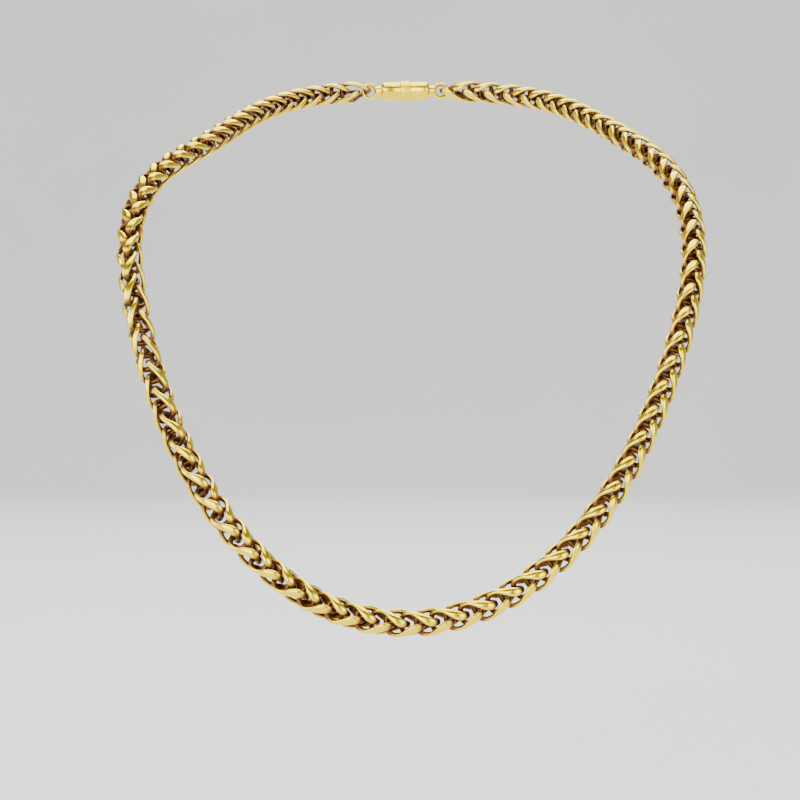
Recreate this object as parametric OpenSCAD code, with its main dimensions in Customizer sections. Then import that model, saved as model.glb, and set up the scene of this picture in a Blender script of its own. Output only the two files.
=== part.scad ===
// A wheat-weave neck chain, worn as a closed loop, with a plain barrel clasp at the nape.
// X is the wearer's left as seen from the front, Y runs from front to back, Z is up.
// The origin is where the clasp lies against the nape of the neck.

/* [Weave] */
// Distance along the chain between two links that lie the same way
pitch = 6.25; // [6.2:0.01:6.3]
// Width of the chain over its outer faces
chain_width = 6; // [5.8:0.1:6.2]
// How square the oval of a link is, where 2 is an ellipse
link_squareness = 3; // [2.9:0.1:3.1]
// How far the oval of a link is twisted from end to end, in degrees
link_turn = 73; // [72:1:80]

/* [Wire] */
// Width of the flattened wire at the sides of a link, along the chain's skin
wire_width = 1.5; // [1.3:0.02:1.6]
// Thickness of the flattened wire at the sides of a link, from the skin inwards
wire_thickness = 0.94; // [0.8:0.02:1]
// Width of the rounder wire at the ends of a link, inside the weave
bar_width = 1.3; // [1.1:0.05:1.3]
// Thickness of the wire at the ends of a link
bar_thickness = 1.2; // [1:0.05:1.25]
// Play between a link's front end and the back end of the second link before it
play = 0.14; // [0.12:0.01:0.2]

/* [Loop] */
// Number of links from one eye of the clasp to the other
link_count = 153; // [153]
// Distance along the loop from the nape to the first link's middle
first_link = 14.5; // [14:0.1:15]

/* [Clasp] */
// Diameter of the barrel
barrel_d = 5; // [4.6:0.1:5.2]
// Length of the barrel
barrel_length = 13; // [11:0.5:13.5]
// Radius of the barrel's rounded rims
barrel_rim = 1.2; // [0.8:0.1:1.6]
// Width of the plain band around the barrel's middle
band_width = 2.6; // [1.6:0.2:3.6]
// How far the band stands proud of the barrel
band_height = 0.2; // [0.1:0.05:0.3]
// Thickness of an eye's round wire
eye_wire = 1; // [0.9:0.05:1.1]
// Diameter of an eye, measured at the middle of its wire
eye_d = 3.6; // [3.4:0.1:3.8]
// Diameter of the collar that carries an eye
collar_d = 3; // [2.4:0.1:3.4]
// Play between an eye and the end link that it holds
eye_play = 0.3; // [0.2:0.05:0.4]

/* [Hidden] */
$fn = 48;

// Points that the loop is drawn through, from the nape down the wearer's right side and back.
// The columns are x, y, z in millimetres and the roll of the weave in degrees.
ROUTE = [
    [0, 5, 0.5, 270],
    [-21.5, 0.5, -1, 270],
    [-34, -17, -6.5, 272],
    [-42, -34.5, -13.5, 275],
    [-48.5, -53, -22, 279],
    [-59.5, -69, -30, 284],
    [-64, -85, -43.5, 258],
    [-61, -97, -60.5, 184],
    [-55.5, -104.5, -79.5, 130],
    [-47.5, -112, -97.5, 78],
    [-36, -118, -114, 44],
    [-19.5, -121.5, -127.5, 12],
    [1.5, -122, -132, -12],
    [22, -120, -125.5, -4],
    [38, -116.5, -111.5, 22],
    [49, -111, -94.5, 38],
    [57, -104, -76.5, 44],
    [63, -95, -58.5, 51],
    [65, -81.5, -42, 63],
    [61.5, -65.5, -29, 86],
    [53, -48.5, -20, 126],
    [45.5, -30.5, -12, 161],
    [37.5, -12.5, -5, 176],
    [21.5, 1.5, -0.5, 180]
];
// Axis of the neck, from which the roll of the weave is measured
neck_x = 0;
neck_y = -61.5;
// Steps that each stretch between two points is cut into
stretch_steps = 20;
// Sides of a link and of its wire
link_sides = 10;
wire_sides = 5;

spacing = pitch / 2;
link_radius = chain_width / 2 - wire_thickness / 2;
link_reach = (pitch + bar_thickness + play) / 2;
half_count = floor(link_count / 2);

// A row of the route, counted round the loop. The roll stays as it is past either end of
// the list, because the clasp parts the weave there.
rows = len(ROUTE);
function row(i) =
    let (near = ROUTE[(i + rows) % rows])
    [near[0], near[1], near[2], ROUTE[max(0, min(rows - 1, i))][3]];
// A place between two rows: the uniform cubic blend of the four nearest rows
function blend(t, a, b, c, d) =
    (pow(1 - t, 3) * a
    + (3 * pow(t, 3) - 6 * pow(t, 2) + 4) * b
    + (-3 * pow(t, 3) + 3 * pow(t, 2) + 3 * t + 1) * c
    + pow(t, 3) * d) / 6;
function loop_at(i, t) = blend(t, row(i - 1), row(i), row(i + 1), row(i + 2));

// The whole loop in small steps, and what lies at each distance along it
steps = rows * stretch_steps;
samples = [for (i = [0:steps]) loop_at(floor(i / stretch_steps), (i % stretch_steps) / stretch_steps)];
function place_of(p) = [p[0], p[1], p[2]];
arcs = [
    for (i = 0, s = 0; i <= steps;
        s = s + norm(place_of(samples[min(i + 1, steps)]) - place_of(samples[i])), i = i + 1) s
];
x_by_arc = [for (i = [0:steps]) [arcs[i], samples[i][0]]];
y_by_arc = [for (i = [0:steps]) [arcs[i], samples[i][1]]];
z_by_arc = [for (i = [0:steps]) [arcs[i], samples[i][2]]];
roll_by_arc = [for (i = [0:steps]) [arcs[i], samples[i][3]]];
function on_loop(s) = [lookup(s, x_by_arc), lookup(s, y_by_arc), lookup(s, z_by_arc)];

function unit(v) = v / norm(v);

// Where a rigid piece lies: its middle on the loop, its length along the chord of its reach,
// and its first cross axis at the given angle from the side that faces away from the neck
function frame_at(middle, ahead, angle) =
    let (outward = [middle[0] - neck_x, middle[1] - neck_y, 0])
    let (out = unit(outward - (outward * ahead) * ahead))
    let (across = cross(ahead, out))
    let (first = cos(angle) * out + sin(angle) * across)
    let (second = cross(ahead, first))
    [
        [first[0], second[0], ahead[0], middle[0]],
        [first[1], second[1], ahead[1], middle[1]],
        [first[2], second[2], ahead[2], middle[2]],
        [0, 0, 0, 1]
    ];

// A link's outline is an oval with square shoulders, so z is its length axis and u its width
corner_trim = pow(cos(180 / link_sides), 2 / link_squareness);
function squared(v) = sign(v) * pow(abs(v), 2 / link_squareness);
function outline_z(i) = link_reach / corner_trim * squared(cos((i + 0.5) * 360 / link_sides));
function outline_u(i) = link_radius * squared(sin((i + 0.5) * 360 / link_sides));
// The oval is twisted about its length. The twist is steepest at the middle and eases off
// towards both ends, so that each band runs along the chain again where it meets an end.
function twist(z, hand) = hand * (45 + link_turn / 2 * sin(90 * z / link_reach));
function ring_point(i, hand) =
    let (z = outline_z(i), u = outline_u(i), t = twist(z, hand))
    [u * cos(t), u * sin(t), z];

// The wire: five corners round each of the link's sides, with a flat face outwards. It goes
// over from the size at a link's ends to the size at its sides.
flat_height = cos(180 / wire_sides);
function wire_corner(i, j) =
    let (side = pow(sin((i + 0.5) * 360 / link_sides), 2))
    let (width = bar_width + (wire_width - bar_width) * side)
    let (thickness = bar_thickness + (wire_thickness - bar_thickness) * side)
    let (turn = 90 + (j + 0.5) * 360 / wire_sides)
    [
        width / 2 * cos(turn) / cos(90 / wire_sides),
        thickness * ((sin(turn) + 1) / (1 + flat_height) - 0.5)
    ];
function link_point(i, j, hand) =
    let (here = ring_point(i, hand))
    let (ahead = unit(ring_point(i + 1, hand) - ring_point(i - 1, hand)))
    let (t = twist(here[2], hand))
    let (skin = [-sin(t), cos(t), 0])
    let (wide = unit(skin - (skin * ahead) * ahead))
    let (thick = cross(ahead, wide))
    let (corner = wire_corner(i, j))
    here + wide * corner[0] + thick * corner[1];

module link(hand) {
    points = [
        for (i = [0:link_sides - 1])
            for (j = [0:wire_sides - 1])
                link_point(i, j, hand)
    ];
    faces = [
        for (i = [0:link_sides - 1])
            for (j = [0:wire_sides - 1])
                let (i2 = (i + 1) % link_sides, j2 = (j + 1) % wire_sides)
                for (half = [0:1])
                    half == 0
                        ? [i * wire_sides + j, i2 * wire_sides + j, i2 * wire_sides + j2]
                        : [i * wire_sides + j, i2 * wire_sides + j2, i * wire_sides + j2]
    ];
    polyhedron(points, faces);
}

module placed_link(k) {
    s = first_link + k * spacing;
    middle = on_loop(s);
    ahead = unit(on_loop(s + link_reach) - on_loop(s - link_reach));
    back_axis = -lookup(s, roll_by_arc) - 90;
    multmatrix(frame_at(middle, ahead, back_axis)) link(k % 2 == 0 ? 1 : -1);
}

// The clasp lies along the chord between the two end links' cross bars
first_bar = first_link - link_reach;
last_bar = first_link + (link_count - 1) * spacing + link_reach;
clasp_from = on_loop(last_bar);
clasp_to = on_loop(first_bar);
clasp_half = norm(clasp_to - clasp_from) / 2;
// Middle of an eye: its far side passes just beyond the cross bar that it holds
eye_middle = clasp_half + bar_thickness / 2 + eye_play + eye_wire / 2 - eye_d / 2;

module barrel() {
    straight = barrel_length / 2 - barrel_rim;
    rotate_extrude() {
        translate([0, -straight]) square([barrel_d / 2, 2 * straight]);
        translate([0, -barrel_length / 2]) square([barrel_d / 2 - barrel_rim, barrel_length]);
        for (end = [-1, 1]) translate([barrel_d / 2 - barrel_rim, end * straight]) circle(barrel_rim);
    }
    cylinder(h = band_width, d = barrel_d + 2 * band_height, center = true);
}

module eye() {
    translate([0, 0, eye_middle]) rotate([0, 90, 0])
        rotate_extrude() translate([eye_d / 2, 0]) circle(d = eye_wire);
    cylinder(h = eye_middle - eye_d / 2 + eye_wire / 4, d = collar_d);
}

module chain_left() {
    color("goldenrod") for (k = [0:half_count - 1]) placed_link(k);
}

module chain_right() {
    color("goldenrod") for (k = [half_count:link_count - 1]) placed_link(k);
}

module clasp() {
    ahead = unit(clasp_to - clasp_from);
    color("gold") multmatrix(frame_at((clasp_from + clasp_to) / 2, ahead, 0)) {
        barrel();
        eye();
        rotate([180, 0, 0]) eye();
    }
}

chain_left();
chain_right();
clasp();
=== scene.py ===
"""A wheat-weave gold chain, hung as a closed loop with a barrel clasp at the back.

The settings and the route are in millimetres. Meshes, lights and the camera stand in metres.
"""

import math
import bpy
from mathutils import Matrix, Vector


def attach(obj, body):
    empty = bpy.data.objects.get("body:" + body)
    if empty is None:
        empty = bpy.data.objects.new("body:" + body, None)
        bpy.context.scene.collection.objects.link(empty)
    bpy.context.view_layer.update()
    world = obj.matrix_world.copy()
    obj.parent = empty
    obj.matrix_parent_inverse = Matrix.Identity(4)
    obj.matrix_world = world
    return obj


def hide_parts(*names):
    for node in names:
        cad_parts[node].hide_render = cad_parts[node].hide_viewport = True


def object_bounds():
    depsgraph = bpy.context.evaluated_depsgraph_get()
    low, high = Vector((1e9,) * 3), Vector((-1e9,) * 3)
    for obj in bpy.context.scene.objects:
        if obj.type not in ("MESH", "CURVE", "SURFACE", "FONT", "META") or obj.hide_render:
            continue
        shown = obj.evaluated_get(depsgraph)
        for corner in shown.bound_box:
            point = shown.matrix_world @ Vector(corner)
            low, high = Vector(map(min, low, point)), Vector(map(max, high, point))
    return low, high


bl_info = {
    "name": "Wheat Chain Necklace",
    "version": (1, 0, 0),
    "blender": (4, 5, 0),
    "location": "View3D > Sidebar > Necklace",
    "description": "Makes the links, the clasp and the studio of a hanging wheat-weave gold chain",
    "category": "Add Mesh",
}

import bpy
import numpy as np
from mathutils import Matrix, Vector

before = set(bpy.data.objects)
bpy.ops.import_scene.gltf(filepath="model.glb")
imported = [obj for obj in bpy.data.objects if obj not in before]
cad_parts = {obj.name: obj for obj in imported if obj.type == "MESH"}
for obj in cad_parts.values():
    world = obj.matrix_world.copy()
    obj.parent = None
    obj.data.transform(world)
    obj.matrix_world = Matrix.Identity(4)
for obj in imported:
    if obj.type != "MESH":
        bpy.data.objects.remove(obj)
CAD_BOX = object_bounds()

MM = 0.001

# Points that the loop is drawn through, from the clasp down the front view's left side and
# back up its right side. The columns are x, y, z in millimetres and the weave's roll in degrees.
ROUTE = np.array([
    (0, 5, 0.5, 270),
    (-21.5, 0.5, -1, 270),
    (-34, -17, -6.5, 272),
    (-42, -34.5, -13.5, 275),
    (-48.5, -53, -22, 279),
    (-59.5, -69, -30, 284),
    (-64, -85, -43.5, 258),
    (-61, -97, -60.5, 184),
    (-55.5, -104.5, -79.5, 130),
    (-47.5, -112, -97.5, 78),
    (-36, -118, -114, 44),
    (-19.5, -121.5, -127.5, 12),
    (1.5, -122, -132, -12),
    (22, -120, -125.5, -4),
    (38, -116.5, -111.5, 22),
    (49, -111, -94.5, 38),
    (57, -104, -76.5, 44),
    (63, -95, -58.5, 51),
    (65, -81.5, -42, 63),
    (61.5, -65.5, -29, 86),
    (53, -48.5, -20, 126),
    (45.5, -30.5, -12, 161),
    (37.5, -12.5, -5, 176),
    (21.5, 1.5, -0.5, 180),
])
# Upright axis inside the loop, in x and y, from which the roll of the weave is measured
LOOP_AXIS = (0, -61.5)
# Steps that each stretch between two route points is cut into
STRETCH_STEPS = 200


class WeaveSettings(bpy.types.PropertyGroup):
    """Sizes of the weave, of one link and of its wire, in millimetres"""

    pitch: bpy.props.FloatProperty(
        name="Pitch", description="Distance between two links that lie the same way",
        default=6.25, min=5, max=8)
    width: bpy.props.FloatProperty(
        name="Chain width", description="Width of the chain over its outer faces",
        default=6.0, min=5, max=7)
    squareness: bpy.props.FloatProperty(
        name="Squareness", description="Exponent of a link's oval, where 2 is an ellipse",
        default=3.0, min=2, max=5)
    wire_width: bpy.props.FloatProperty(
        name="Wire width", description="Width of the flattened wire at a link's sides",
        default=1.46, min=1, max=2)
    wire_thickness: bpy.props.FloatProperty(
        name="Wire thickness", description="Thickness of the flattened wire at a link's sides",
        default=0.94, min=0.5, max=1.2)
    wire_squareness: bpy.props.FloatProperty(
        name="Wire squareness", description="Exponent of the wire's section, where 2 is an ellipse",
        default=2.4, min=2, max=6)
    bar_width: bpy.props.FloatProperty(
        name="Bar width", description="Width of the wire at a link's two ends, inside the weave",
        default=1.3, min=0.5, max=2)
    bar_thickness: bpy.props.FloatProperty(
        name="Bar thickness", description="Thickness of the wire at a link's two ends",
        default=1.2, min=0.5, max=1.4)
    taper: bpy.props.FloatProperty(
        name="Taper", description="How much wider a band is at its front than in its middle",
        default=0.3, min=0, max=0.5)
    play: bpy.props.FloatProperty(
        name="Play", description="Gap between a link's front end and the link that it pulls on",
        default=0.08, min=0, max=0.3)
    turn: bpy.props.FloatProperty(
        name="Turn", description="How far a link is twisted from end to end, in degrees",
        default=73.0, min=60, max=100)
    count: bpy.props.IntProperty(
        name="Links", description="Number of links from one eye of the clasp to the other",
        default=153, min=3, max=400)
    first: bpy.props.FloatProperty(
        name="First link", description="Distance along the loop from its start to the first link",
        default=14.5, min=0, max=40)
    along: bpy.props.IntProperty(
        name="Steps along", description="Faces along the wire of one link", default=64, min=16)
    around: bpy.props.IntProperty(
        name="Steps around", description="Faces around the wire", default=18, min=6)


class ClaspSettings(bpy.types.PropertyGroup):
    """Sizes of the barrel clasp, in millimetres"""

    barrel: bpy.props.FloatProperty(
        name="Barrel", description="Diameter of the barrel", default=5.0, min=3, max=6)
    length: bpy.props.FloatProperty(
        name="Length", description="Length of the barrel", default=13.0, min=8, max=14)
    rim: bpy.props.FloatProperty(
        name="Rim", description="Radius of the rounded rims", default=1.2, min=0.4, max=2)
    band: bpy.props.FloatProperty(
        name="Band", description="Width of the band around the middle", default=2.6, min=1, max=4)
    band_rise: bpy.props.FloatProperty(
        name="Band rise", description="How far the band stands proud", default=0.2, min=0, max=0.4)
    eye: bpy.props.FloatProperty(
        name="Eye", description="Diameter of an eye at the middle of its wire", default=3.6)
    eye_wire: bpy.props.FloatProperty(
        name="Eye wire", description="Thickness of an eye's wire", default=1.0, min=0.6, max=1.4)
    collar: bpy.props.FloatProperty(
        name="Collar", description="Diameter of the collar that carries an eye", default=3.0)
    eye_play: bpy.props.FloatProperty(
        name="Eye play", description="Gap between an eye and the end link", default=0.3)
    link_reach: bpy.props.FloatProperty(
        name="Link reach", description="From an end link's middle to the bar that an eye holds",
        default=3.795)
    link_wire: bpy.props.FloatProperty(
        name="Link wire", description="Thickness of the bar that an eye holds", default=1.2)


class GoldSettings(bpy.types.PropertyGroup):
    """Colours and polish of the gold, and the colour of the painted shade inside the weave"""

    skin: bpy.props.FloatVectorProperty(
        name="Skin", description="Colour of the polished outer faces", subtype="COLOR",
        default=(1.0, 0.77, 0.02), min=0, max=1)
    warm: bpy.props.FloatVectorProperty(
        name="Warm", description="Colour of the warmer patches", subtype="COLOR",
        default=(0.98, 0.67, 0.01), min=0, max=1)
    # Painted shade: the dark red-brown that the wire is given deep in the weave and at the sides of its
    # bands, where shade falls
    core: bpy.props.FloatVectorProperty(
        name="Core", description="Colour of the wire inside the weave", subtype="COLOR",
        default=(0.16, 0.065, 0.018), min=0, max=1)
    polish: bpy.props.FloatProperty(
        name="Polish", description="Roughness of the outer faces", default=0.2, min=0, max=1)
    core_roughness: bpy.props.FloatProperty(
        name="Core roughness", description="Roughness inside the weave", default=0.34, min=0, max=1)


class StudioSettings(bpy.types.PropertyGroup):
    """The camera, the lights and the pale floor"""

    camera_x: bpy.props.FloatProperty(
        name="Camera x", description="Camera's place across, in mm", default=-2.0)
    camera_z: bpy.props.FloatProperty(
        name="Camera z", description="Camera's height from the origin, in mm", default=-84.0)
    distance: bpy.props.FloatProperty(
        name="Distance", description="From the camera to the front of the chain, in mm",
        default=400.0, min=100)
    front_y: bpy.props.FloatProperty(
        name="Front", description="Depth of the front of the chain from the origin, in mm",
        default=-121.5)
    scale_at_front: bpy.props.FloatProperty(
        name="Scale", description="Pixels per mm at the front of the chain, in an 800 pixel frame",
        default=4.83, min=1)
    floor_drop: bpy.props.FloatProperty(
        name="Floor", description="How far the floor lies below the chain, in mm", default=60.0)
    floor_colour: bpy.props.FloatVectorProperty(
        name="Floor colour", description="Colour of the floor and the backdrop", subtype="COLOR",
        default=(0.86, 0.85, 0.84), min=0, max=1)


def unit(v):
    """Each row divided by its own length."""
    return v / np.linalg.norm(v, axis=-1, keepdims=True)


def distance_along(points):
    """Distance from the first point of a line of points to each of its points, along the line."""
    gaps = np.linalg.norm(np.diff(points, axis=0), axis=1)
    return np.concatenate([[0], np.cumsum(gaps)])


def squared(v, exponent):
    """A sine or cosine raised to 2 / exponent with its sign kept, which squares off a circle."""
    return np.sign(v) * np.abs(v) ** (2 / exponent)


class Loop:
    """The loop as a smooth closed curve, with places and rolls looked up by distance along it.

    A place between two route points is the uniform cubic blend of the four nearest rows, with
    the weights (1-t)^3, 3t^3-6t^2+4, -3t^3+3t^2+3t+1 and t^3, each over six. The roll stays
    as it is past either end of the table, because the clasp parts the weave there.
    """

    def __init__(self):
        rows = len(ROUTE)
        steps = np.arange(rows * STRETCH_STEPS + 1)
        stretch = np.minimum(steps // STRETCH_STEPS, rows - 1)
        t = (steps / STRETCH_STEPS - stretch)[:, None]
        before = (1 - t) ** 3
        start = 3 * t ** 3 - 6 * t ** 2 + 4
        end = -3 * t ** 3 + 3 * t ** 2 + 3 * t + 1
        after = t ** 3
        points = 0
        for offset, weight in ((-1, before), (0, start), (1, end), (2, after)):
            near = stretch + offset
            place = ROUTE[near % rows, :3]
            roll = ROUTE[np.clip(near, 0, rows - 1), 3:]
            points = points + weight / 6 * np.hstack([place, roll])
        self.arc = distance_along(points[:, :3])
        self.points = points
        self.length = self.arc[-1]

    def place(self, s):
        """Place on the loop at distance s, taken round the loop."""
        s = np.mod(s, self.length)
        return np.stack([np.interp(s, self.arc, self.points[:, i]) for i in range(3)], axis=-1)

    def roll(self, s):
        """Roll of the weave at distance s, in radians."""
        return np.radians(np.interp(s, self.arc, self.points[:, 3]))


def piece_axes(middle, ahead, turn):
    """Three axes of each rigid piece, from its middle, the direction ahead and its turn.

    The first is the side away from the loop's axis, made square to ahead and turned about it.
    The second is the cross of ahead and the first, and the third is ahead.
    """
    outward = middle * (1, 1, 0) - (*LOOP_AXIS, 0)
    outward = unit(outward - (outward * ahead).sum(-1, keepdims=True) * ahead)
    across = np.cross(ahead, outward)
    turn = np.asarray(turn)[..., None]
    first = np.cos(turn) * outward + np.sin(turn) * across
    return np.stack([first, np.cross(ahead, first), ahead], axis=-2)


def closed_tube_faces(along, around):
    """Quads of a grid that closes on itself both ways, turned to face outwards."""
    i, j = np.meshgrid(np.arange(along), np.arange(around), indexing="ij")
    ahead = (i + 1) % along
    beside = (j + 1) % around
    quads = np.stack(
        [i * around + j, i * around + beside, ahead * around + beside, ahead * around + j], axis=-1)
    return quads.reshape(-1, 4)


def sweep(centre, wide, half_width, half_thickness, exponent, around):
    """Carry a squared oval section along a closed path, with one size or a size at each step.

    The section's long axis follows wide, made square to the path, and its short axis is the
    cross of the path's direction and the long axis. A corner stands at the half width times the
    squared-off cosine of its angle on the long axis and at the half thickness times the
    squared-off sine on the short one. Returns points by step and corner.
    """
    ahead = unit(np.roll(centre, -1, axis=0) - np.roll(centre, 1, axis=0))
    wide = unit(wide - (wide * ahead).sum(-1, keepdims=True) * ahead)
    thick = np.cross(ahead, wide)
    angle = np.arange(around) / around * 2 * np.pi
    across = np.reshape(half_width, (-1, 1)) * squared(np.cos(angle), exponent)
    outward = np.reshape(half_thickness, (-1, 1)) * squared(np.sin(angle), exponent)
    return centre[:, None] + wide[:, None] * across[..., None] + thick[:, None] * outward[..., None]


def link_reach(weave):
    """From a link's middle to the middle of the wire at either of its ends.

    It is half of the pitch, the bar's thickness and the play together.
    """
    return (weave.pitch + weave.bar_thickness + weave.play) / 2


def twisted_link(weave, hand):
    """One link: an oval with square shoulders, twisted about its length.

    With z along the chain and u across the oval, z is half the length times the squared-off
    cosine of the parameter and u half the width times its squared-off sine. The oval's plane
    stands at hand * (45 degrees + turn / 2 * sin(90 degrees * z / half length)), so the twist
    is steepest at the middle and each band runs along the chain again near the ends. The
    parameter is spaced so that the steps are even along the outline.

    The wire's width and thickness go over from the sizes at the ends to the sizes at the sides
    by the squared sine of the parameter. The width is then multiplied by
    1 + taper * sin(180 degrees * z / half length), which makes a band wider towards its front
    and narrower towards its back.
    """
    reach = link_reach(weave)
    radius = (weave.width - weave.wire_thickness) / 2
    fine_steps = 4000
    fine = np.linspace(0, 2 * np.pi, fine_steps + 1)
    outline = np.stack([reach * squared(np.cos(fine), weave.squareness),
                        radius * squared(np.sin(fine), weave.squareness)], axis=-1)
    run = distance_along(outline)
    even = np.interp(np.arange(weave.along) / weave.along * run[-1], run, fine)
    z = reach * squared(np.cos(even), weave.squareness)
    u = radius * squared(np.sin(even), weave.squareness)
    angle = hand * (np.pi / 4 + np.radians(weave.turn) / 2 * np.sin(np.pi / 2 * z / reach))
    centre = np.stack([u * np.cos(angle), u * np.sin(angle), z], axis=-1)
    wide = np.stack([-np.sin(angle), np.cos(angle), 0 * z], axis=-1)
    side = np.sin(even) ** 2
    wire_width = weave.bar_width + (weave.wire_width - weave.bar_width) * side
    wire_width = wire_width * (1 + weave.taper * np.sin(np.pi * z / reach))
    wire_thickness = weave.bar_thickness + (weave.wire_thickness - weave.bar_thickness) * side
    return sweep(centre, wide, wire_width / 2, wire_thickness / 2, weave.wire_squareness, weave.around)


def place_links(loop, weave, numbers):
    """All links of one half: each is the link of its hand, turned and moved as a rigid piece.

    A link's middle is on the loop, its length lies along the chord of its own reach, and its
    back end is a quarter turn behind the roll of the weave. Returns the points of each link,
    and how far each point lies from the chain's own axis.
    """
    spacing = weave.pitch / 2
    reach = link_reach(weave)
    s = weave.first + numbers * spacing
    middle = loop.place(s)
    ahead = unit(loop.place(s + reach) - loop.place(s - reach))
    axes = piece_axes(middle, ahead, -loop.roll(s) - np.pi / 2)
    shapes = np.stack([twisted_link(weave, 1), twisted_link(weave, -1)])
    shapes = shapes.reshape(2, -1, 3)[numbers % 2]
    points = middle[:, None] + shapes @ axes
    from_axis = np.linalg.norm(shapes[..., :2], axis=-1)
    return points, from_axis


def new_mesh_object(name, points, *faces):
    """A smooth mesh object at the world origin, from points in millimetres and arrays of faces.

    Each array has one face to a row, and its own number of corners.
    """
    corners = np.concatenate([rows.ravel() for rows in faces])
    sizes = np.concatenate([np.full(len(rows), rows.shape[1]) for rows in faces])
    mesh = bpy.data.meshes.new(name)
    mesh.vertices.add(len(points))
    mesh.vertices.foreach_set("co", (points * MM).astype(np.float32).ravel())
    mesh.loops.add(len(corners))
    mesh.loops.foreach_set("vertex_index", corners.astype(np.int32))
    mesh.polygons.add(len(sizes))
    mesh.polygons.foreach_set("loop_start", (np.cumsum(sizes) - sizes).astype(np.int32))
    mesh.update(calc_edges=True)
    mesh.validate()
    mesh.polygons.foreach_set("use_smooth", np.full(len(mesh.polygons), True))
    obj = bpy.data.objects.new(name, mesh)
    bpy.context.scene.collection.objects.link(obj)
    return obj


def store(obj, name, values):
    """Keep one number for each point of the mesh under a name that a material can read."""
    layer = obj.data.attributes.new(name, "FLOAT", "POINT")
    layer.data.foreach_set("value", values.astype(np.float32).ravel())


class Value:
    """A shader socket with arithmetic: an expression on values adds its Math nodes."""

    def __init__(self, graph, socket):
        self.graph = graph
        self.socket = socket

    def _math(self, operation, *terms, clamp=False):
        sockets = {i: term for i, term in enumerate(terms)}
        return self.graph.add("ShaderNodeMath", {"operation": operation, "use_clamp": clamp}, sockets)

    def __add__(self, other):
        return self._math("ADD", self, other)

    def __radd__(self, other):
        return self._math("ADD", other, self)

    def __sub__(self, other):
        return self._math("SUBTRACT", self, other)

    def __rsub__(self, other):
        return self._math("SUBTRACT", other, self)

    def __mul__(self, other):
        return self._math("MULTIPLY", self, other)

    def __rmul__(self, other):
        return self._math("MULTIPLY", other, self)

    def clamped(self):
        """The value kept between 0 and 1."""
        return self._math("ADD", self, 0.0, clamp=True)


class Graph:
    """The nodes of one material."""

    def __init__(self, name):
        self.material = bpy.data.materials.new(name)
        self.material.use_nodes = True
        self.nodes = self.material.node_tree.nodes
        self.links = self.material.node_tree.links
        self.nodes.clear()

    def add(self, kind, settings=None, inputs=None, output=0):
        """A node of a type: its settings first, then its sockets by name or number."""
        node = self.nodes.new(kind)
        for key, value in (settings or {}).items():
            setattr(node, key, value)
        for key, value in (inputs or {}).items():
            socket = node.inputs[key]
            if isinstance(value, Value):
                self.links.new(value.socket, socket)
            else:
                socket.default_value = value
        return Value(self, node.outputs[output]) if node.outputs else node

    def coordinates(self):
        """The piece's own place, in metres."""
        return self.add("ShaderNodeTexCoord", output="Object")

    def noise(self, scale, detail=2.0, roughness=0.5):
        """Cloudy noise around one half in the piece's own place, with scale clouds to a metre."""
        inputs = {"Vector": self.coordinates(), "Scale": scale, "Detail": detail, "Roughness": roughness}
        return self.add("ShaderNodeTexNoise", {}, inputs, "Fac")

    def attribute(self, name):
        """A number stored on the mesh."""
        return self.add("ShaderNodeAttribute", {"attribute_name": name}, {}, "Fac")

    def smooth_step(self, value, low, high):
        """0 below low, 1 above high and a soft ramp between."""
        settings = {"interpolation_type": "SMOOTHSTEP"}
        inputs = {"Value": value, "From Min": low, "From Max": high}
        return self.add("ShaderNodeMapRange", settings, inputs, "Result")

    def mix(self, factor, first, second):
        """Colour between two, by a factor."""
        settings = {"data_type": "RGBA"}
        return self.add("ShaderNodeMix", settings, {0: factor, 6: first, 7: second}, 2)

    def bump(self, height, strength, distance):
        """Normal from a height."""
        inputs = {"Height": height, "Strength": strength, "Distance": distance}
        return self.add("ShaderNodeBump", {}, inputs, "Normal")

    def finish(self, inputs):
        """The main shader with its sockets set, wired to the output."""
        shader = self.add("ShaderNodeBsdfPrincipled", {}, inputs, "BSDF")
        self.add("ShaderNodeOutputMaterial", {}, {"Surface": shader})
        return self.material


def solid(colour):
    """A colour with full alpha."""
    return (*colour, 1.0)


def two_tone(graph, gold, scale, most_warm):
    """The gold's skin colour with warmer patches, which reach the share most_warm of the way."""
    patches = graph.smooth_step(graph.noise(scale, detail=3), low=0.35, high=0.65)
    return graph.mix(patches * most_warm, solid(gold.skin), solid(gold.warm))


def link_gold(gold):
    """Polished gold on the skin of the weave, with painted shade that makes it darker and redder towards
    its core, where it is also duller.
    """
    graph = Graph("link_gold")
    # Depths under the weave's skin, in mm, where the painted shade and the duller finish begin and where
    # they are complete
    core_begins, core_complete = 0.12, 0.75
    # Weight of the painted shade at each depth into the weave, which also raises the roughness
    core = graph.smooth_step(graph.attribute("skin_depth"), core_begins, core_complete)
    skin = two_tone(graph, gold, scale=160, most_warm=0.6)
    colour = graph.mix(core, skin, solid(gold.core))
    wear = graph.noise(900, detail=4, roughness=0.6)
    roughness = gold.polish + (wear - 0.5) * 0.12 + core * (gold.core_roughness - gold.polish)
    scratches = graph.noise(2600, detail=5, roughness=0.7)
    hammer_marks = graph.noise(420, detail=2)
    height = scratches + hammer_marks * 1.5
    return graph.finish({
        "Base Color": colour,
        "Metallic": 1.0,
        "Roughness": roughness.clamped(),
        "Normal": graph.bump(height, strength=0.12, distance=0.12 * MM),
    })


def clasp_gold(gold):
    """Polished gold with a satin band around the middle of the barrel."""
    graph = Graph("clasp_gold")
    wear = graph.noise(1400, detail=4, roughness=0.6)
    roughness = gold.polish + (wear - 0.5) * 0.1 + graph.attribute("satin") * 0.2
    scratches = graph.noise(3200, detail=5, roughness=0.7)
    return graph.finish({
        "Base Color": two_tone(graph, gold, scale=200, most_warm=0.5),
        "Metallic": 1.0,
        "Roughness": roughness.clamped(),
        "Normal": graph.bump(scratches, strength=0.15, distance=0.1 * MM),
    })


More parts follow.
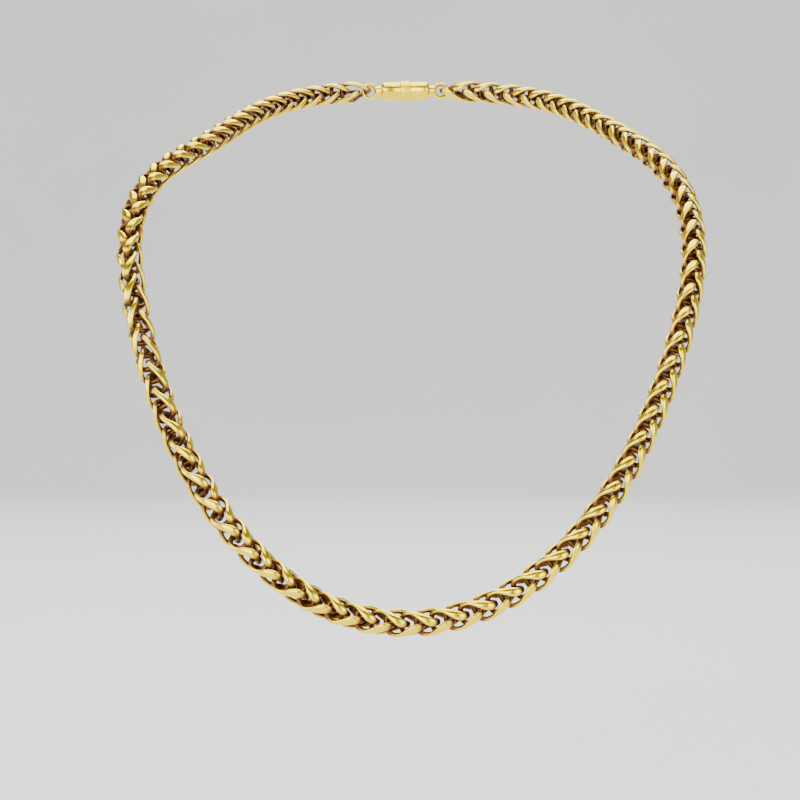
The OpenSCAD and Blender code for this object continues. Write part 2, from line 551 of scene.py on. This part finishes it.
def stage_paper(studio):
    """Plain matt paper with a faint unevenness."""
    graph = Graph("stage_paper")
    clouds = graph.smooth_step(graph.noise(3, detail=2), low=0.3, high=0.7)
    darkening = 0.97
    darker = tuple(channel * darkening for channel in studio.floor_colour)
    colour = graph.mix(clouds, solid(studio.floor_colour), solid(darker))
    return graph.finish({"Base Color": colour, "Roughness": 0.85})


class NECKLACE_OT_links(bpy.types.Operator):
    """Make both halves of the chain from twisted oval links"""

    bl_idname = "necklace.links"
    bl_label = "Chain links"

    def execute(self, context):
        weave = context.scene.necklace_weave
        loop = Loop()
        material = link_gold(context.scene.necklace_gold)
        half = weave.count // 2
        halves = {"chain_left": np.arange(half), "chain_right": np.arange(half, weave.count)}
        one_link = closed_tube_faces(weave.along, weave.around)
        for node, numbers in halves.items():
            points, from_axis = place_links(loop, weave, numbers)
            first_point = np.arange(len(numbers)) * weave.along * weave.around
            quads = (one_link[None] + first_point[:, None, None]).reshape(-1, 4)
            obj = new_mesh_object(node + "_links", points.reshape(-1, 3), quads)
            # Depth under the skin, from which the material paints shade towards the weave's core
            store(obj, "skin_depth", weave.width / 2 - from_axis)
            obj.data.materials.append(material)
            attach(obj, "root")
            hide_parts(node)
        return {"FINISHED"}


def lathe(profile, around):
    """A profile of radius and height turned about the height axis, as points, quads and fans.

    The profile runs upwards. A fan to one point on the axis closes each end.
    """
    angle = np.arange(around) / around * 2 * np.pi
    radius, height = profile.T
    grid = np.stack([radius[:, None] * np.cos(angle), radius[:, None] * np.sin(angle),
                     np.repeat(height[:, None], around, axis=1)], axis=-1)
    points = np.vstack([grid.reshape(-1, 3), (0, 0, height[0]), (0, 0, height[-1])])
    i, j = np.meshgrid(np.arange(len(profile) - 1), np.arange(around), indexing="ij")
    beside = (j + 1) % around
    quads = np.stack([i * around + j, i * around + beside,
                      (i + 1) * around + beside, (i + 1) * around + j], axis=-1)
    j, beside = j[0], beside[0]
    poles = len(profile) * around
    last_ring = poles - around
    fans = np.vstack([np.stack([beside, j, 0 * j + poles], axis=-1),
                      np.stack([last_ring + j, last_ring + beside, 0 * j + poles + 1], axis=-1)])
    return points, quads.reshape(-1, 4), fans


def barrel_profile(clasp, end):
    """Profile of the barrel and its collars, from one collar's face to the other.

    The rims are quarter circles, the band stands proud with softened edges, and a fine groove
    runs on each side of it. A fillet joins each collar to the barrel, and its face has a
    rounded edge. The columns are height and radius, and the upper half is mirrored to make the
    lower one. Returns rows of radius and height.
    """
    barrel = clasp.barrel / 2
    half = clasp.length / 2
    collar = clasp.collar / 2
    band_side = clasp.band / 2
    band_top = barrel + clasp.band_rise
    soft, groove, fillet, edge = 0.12, 0.18, 0.15, 0.2
    turn = np.linspace(0, np.pi / 2, 13)
    band = [(band_side - soft, band_top),
            (band_side - soft * 0.3, band_top - soft * 0.3),
            (band_side, band_top - soft),
            (band_side, barrel),
            (band_side + groove, barrel - groove * 0.8),
            (band_side + groove * 2, barrel)]
    rim = np.stack([half - clasp.rim + clasp.rim * np.sin(turn),
                    barrel - clasp.rim + clasp.rim * np.cos(turn)], axis=-1)
    collar_foot = [(half, collar + fillet),
                   (half + fillet / 3, collar + fillet / 3),
                   (half + fillet, collar)]
    collar_end = [(end - edge, collar),
                  (end - edge * 0.3, collar - edge * 0.3),
                  (end, collar - edge),
                  (end, collar - edge * 1.5)]
    upper = np.vstack([band, rim, collar_foot, collar_end])
    lower = upper[::-1] * (-1, 1)
    return np.vstack([lower, upper])[:, ::-1]


def eye_ring(clasp, height, steps):
    """Middle of an eye's wire: a circle whose centre is on the clasp's axis at a height.

    A point stands at the radius times the sine of its angle across the axis, and at the radius
    times the cosine along it.
    """
    angle = np.arange(steps) / steps * 2 * np.pi
    radius = clasp.eye / 2
    return np.stack([0 * angle, radius * np.sin(angle), height + radius * np.cos(angle)], axis=-1)


def place_clasp(loop, weave, clasp):
    """Where the clasp lies, between the bars of the two end links that its eyes hold.

    Returns its middle, its three axes and the height of each bar above or below the middle.
    """
    links_span = (weave.count - 1) * weave.pitch / 2
    first_bar = loop.place(weave.first - clasp.link_reach)
    last_bar = loop.place(weave.first + links_span + clasp.link_reach)
    middle = (first_bar + last_bar) / 2
    axes = piece_axes(middle, unit(first_bar - last_bar), turn=0.0)
    return middle, axes, np.linalg.norm(first_bar - last_bar) / 2


def clasp_surface(clasp, bar_height):
    """The barrel with its collars and both eyes, upright about the origin.

    The far side of an eye passes just beyond the bar that it holds. Returns points, quads and
    the fans that close the barrel's ends.
    """
    far_side = bar_height + clasp.link_wire / 2 + clasp.eye_play + clasp.eye_wire / 2
    eye_middle = far_side - clasp.eye / 2
    collar_end = eye_middle - clasp.eye / 2 + clasp.eye_wire / 4
    barrel_steps, eye_steps, wire_steps = 96, 64, 24
    body, body_quads, fans = lathe(barrel_profile(clasp, collar_end), barrel_steps)
    points = [body]
    quads = [body_quads]
    for height in (eye_middle, -eye_middle):
        ring = eye_ring(clasp, height, eye_steps)
        wide = np.zeros_like(ring) + (1, 0, 0)
        wire = sweep(ring, wide, clasp.eye_wire / 2, clasp.eye_wire / 2, exponent=2, around=wire_steps)
        quads.append(closed_tube_faces(eye_steps, wire_steps) + sum(map(len, points)))
        points.append(wire.reshape(-1, 3))
    return np.concatenate(points), np.concatenate(quads), fans


class NECKLACE_OT_clasp(bpy.types.Operator):
    """Make the barrel clasp with an eye at each end"""

    bl_idname = "necklace.clasp"
    bl_label = "Barrel clasp"

    def execute(self, context):
        clasp = context.scene.necklace_clasp
        middle, axes, bar_height = place_clasp(Loop(), context.scene.necklace_weave, clasp)
        points, quads, fans = clasp_surface(clasp, bar_height)
        polished_edge = 0.1
        on_band = np.abs(points[:, 2]) < clasp.band / 2 - polished_edge
        obj = new_mesh_object("barrel_clasp", middle + points @ axes, quads, fans)
        store(obj, "satin", on_band)
        obj.data.materials.append(clasp_gold(context.scene.necklace_gold))
        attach(obj, "root")
        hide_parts("clasp")
        return {"FINISHED"}


def area_light(name, place, aim, size, power):
    """A rectangular soft light at a place, turned towards a point, with its power in watts."""
    data = bpy.data.lights.new(name, "AREA")
    data.shape = "RECTANGLE"
    data.size, data.size_y = size
    data.energy = power
    obj = bpy.data.objects.new(name, data)
    bpy.context.scene.collection.objects.link(obj)
    obj.location = place
    obj.rotation_euler = (Vector(aim) - Vector(place)).to_track_quat("-Z", "Y").to_euler()


def backdrop(low):
    """A round floor at the height low that sweeps up into a wall all round, in millimetres.

    Its profile is a flat disc, then a quarter circle and then a straight wall. A point of the
    quarter circle stands at the floor's radius plus the bend's radius times the sine of its
    angle, and at the bend's radius times one minus the cosine above the floor. The faces are
    turned to the inside, and the top stays open.
    """
    floor_radius, bend, wall_top, flat_rim = 1800, 800, 3200, 20
    around = 96
    angle = np.linspace(0, np.pi / 2, 17)
    radius = [floor_radius - flat_rim, *(floor_radius + bend * np.sin(angle)), floor_radius + bend]
    height = [0, *(bend * (1 - np.cos(angle))), wall_top]
    points, wall, fans = lathe(np.stack([radius, height], axis=-1), around)
    floor_fan = fans[:around]
    top_pole = -1
    return points[:top_pole] + (0, 0, low), wall[:, ::-1], floor_fan[:, ::-1]


def soft_room(strength):
    """A white world that lights everything faintly."""
    world = bpy.data.worlds.new("soft_room")
    world.use_nodes = True
    background = world.node_tree.nodes["Background"]
    background.inputs["Color"].default_value = (1, 1, 1, 1)
    background.inputs["Strength"].default_value = strength
    return world


def photo_camera(studio):
    """A level camera that looks along +Y, with the lens that gives the photo's scale."""
    data = bpy.data.cameras.new("photo_camera")
    data.sensor_width = 36
    frame_pixels = 800
    focal_pixels = studio.scale_at_front * studio.distance
    data.lens = focal_pixels / frame_pixels * data.sensor_width
    data.clip_start = 0.01
    camera = bpy.data.objects.new("photo_camera", data)
    bpy.context.scene.collection.objects.link(camera)
    place = Vector((studio.camera_x, studio.front_y - studio.distance, studio.camera_z)) * MM
    camera.matrix_world = Matrix.Translation(place) @ Matrix.Rotation(math.pi / 2, 4, "X")
    return camera


class NECKLACE_OT_studio(bpy.types.Operator):
    """Make the pale floor and backdrop, the soft lights and the camera"""

    bl_idname = "necklace.studio"
    bl_label = "Studio"

    def execute(self, context):
        studio = context.scene.necklace_studio
        low = CAD_BOX[0][2] - studio.floor_drop * MM
        floor = new_mesh_object("studio_floor", *backdrop(low / MM))
        floor.data.materials.append(stage_paper(studio))

        chain_middle = (0, -0.08, -0.07)
        floor_behind = (0, 1.2, low)
        # Name, place, what it is aimed at, width and height in metres, and power in watts
        panels = (
            ("front_panel", (-0.35, -0.95, 0.21), chain_middle, (0.9, 0.68), 9.8),
            ("left_panel", (-0.95, -0.25, 0.15), chain_middle, (0.63, 0.6), 6.3),
            ("right_panel", (0.75, -0.75, 0.18), chain_middle, (0.72, 0.64), 6.8),
            ("top_panel", (0, -0.1, 0.85), chain_middle, (1.08, 0.72), 11.5),
            ("floor_wash", (0, 0.9, 1.2), floor_behind, (1.5, 0.8), 34),
        )
        for name, place, aim, size, power in panels:
            area_light(name, place, aim, size, power)

        context.scene.world = soft_room(strength=0.05)
        context.scene.camera = photo_camera(studio)
        return {"FINISHED"}


class NECKLACE_PT_panel(bpy.types.Panel):
    """The buttons that make the necklace"""

    bl_idname = "NECKLACE_PT_panel"
    bl_label = "Necklace"
    bl_space_type = "VIEW_3D"
    bl_region_type = "UI"
    bl_category = "Necklace"

    def draw(self, context):
        for maker in OPERATORS:
            self.layout.operator(maker.bl_idname)
        for group in GROUPS:
            box = self.layout.box()
            settings = getattr(context.scene, group)
            for prop in settings.bl_rna.properties:
                if prop.identifier not in ("rna_type", "name"):
                    box.prop(settings, prop.identifier)


OPERATORS = (NECKLACE_OT_links, NECKLACE_OT_clasp, NECKLACE_OT_studio)
GROUPS = {
    "necklace_weave": WeaveSettings,
    "necklace_clasp": ClaspSettings,
    "necklace_gold": GoldSettings,
    "necklace_studio": StudioSettings,
}
CLASSES = (*GROUPS.values(), *OPERATORS, NECKLACE_PT_panel)


def register():
    for cls in CLASSES:
        bpy.utils.register_class(cls)
    for name, group in GROUPS.items():
        setattr(bpy.types.Scene, name, bpy.props.PointerProperty(type=group))


def unregister():
    for name in GROUPS:
        delattr(bpy.types.Scene, name)
    for cls in reversed(CLASSES):
        bpy.utils.unregister_class(cls)


def main():
    register()
    bpy.ops.necklace.studio()
    bpy.ops.necklace.links()
    bpy.ops.necklace.clasp()


if __name__ == "__main__":
    main()
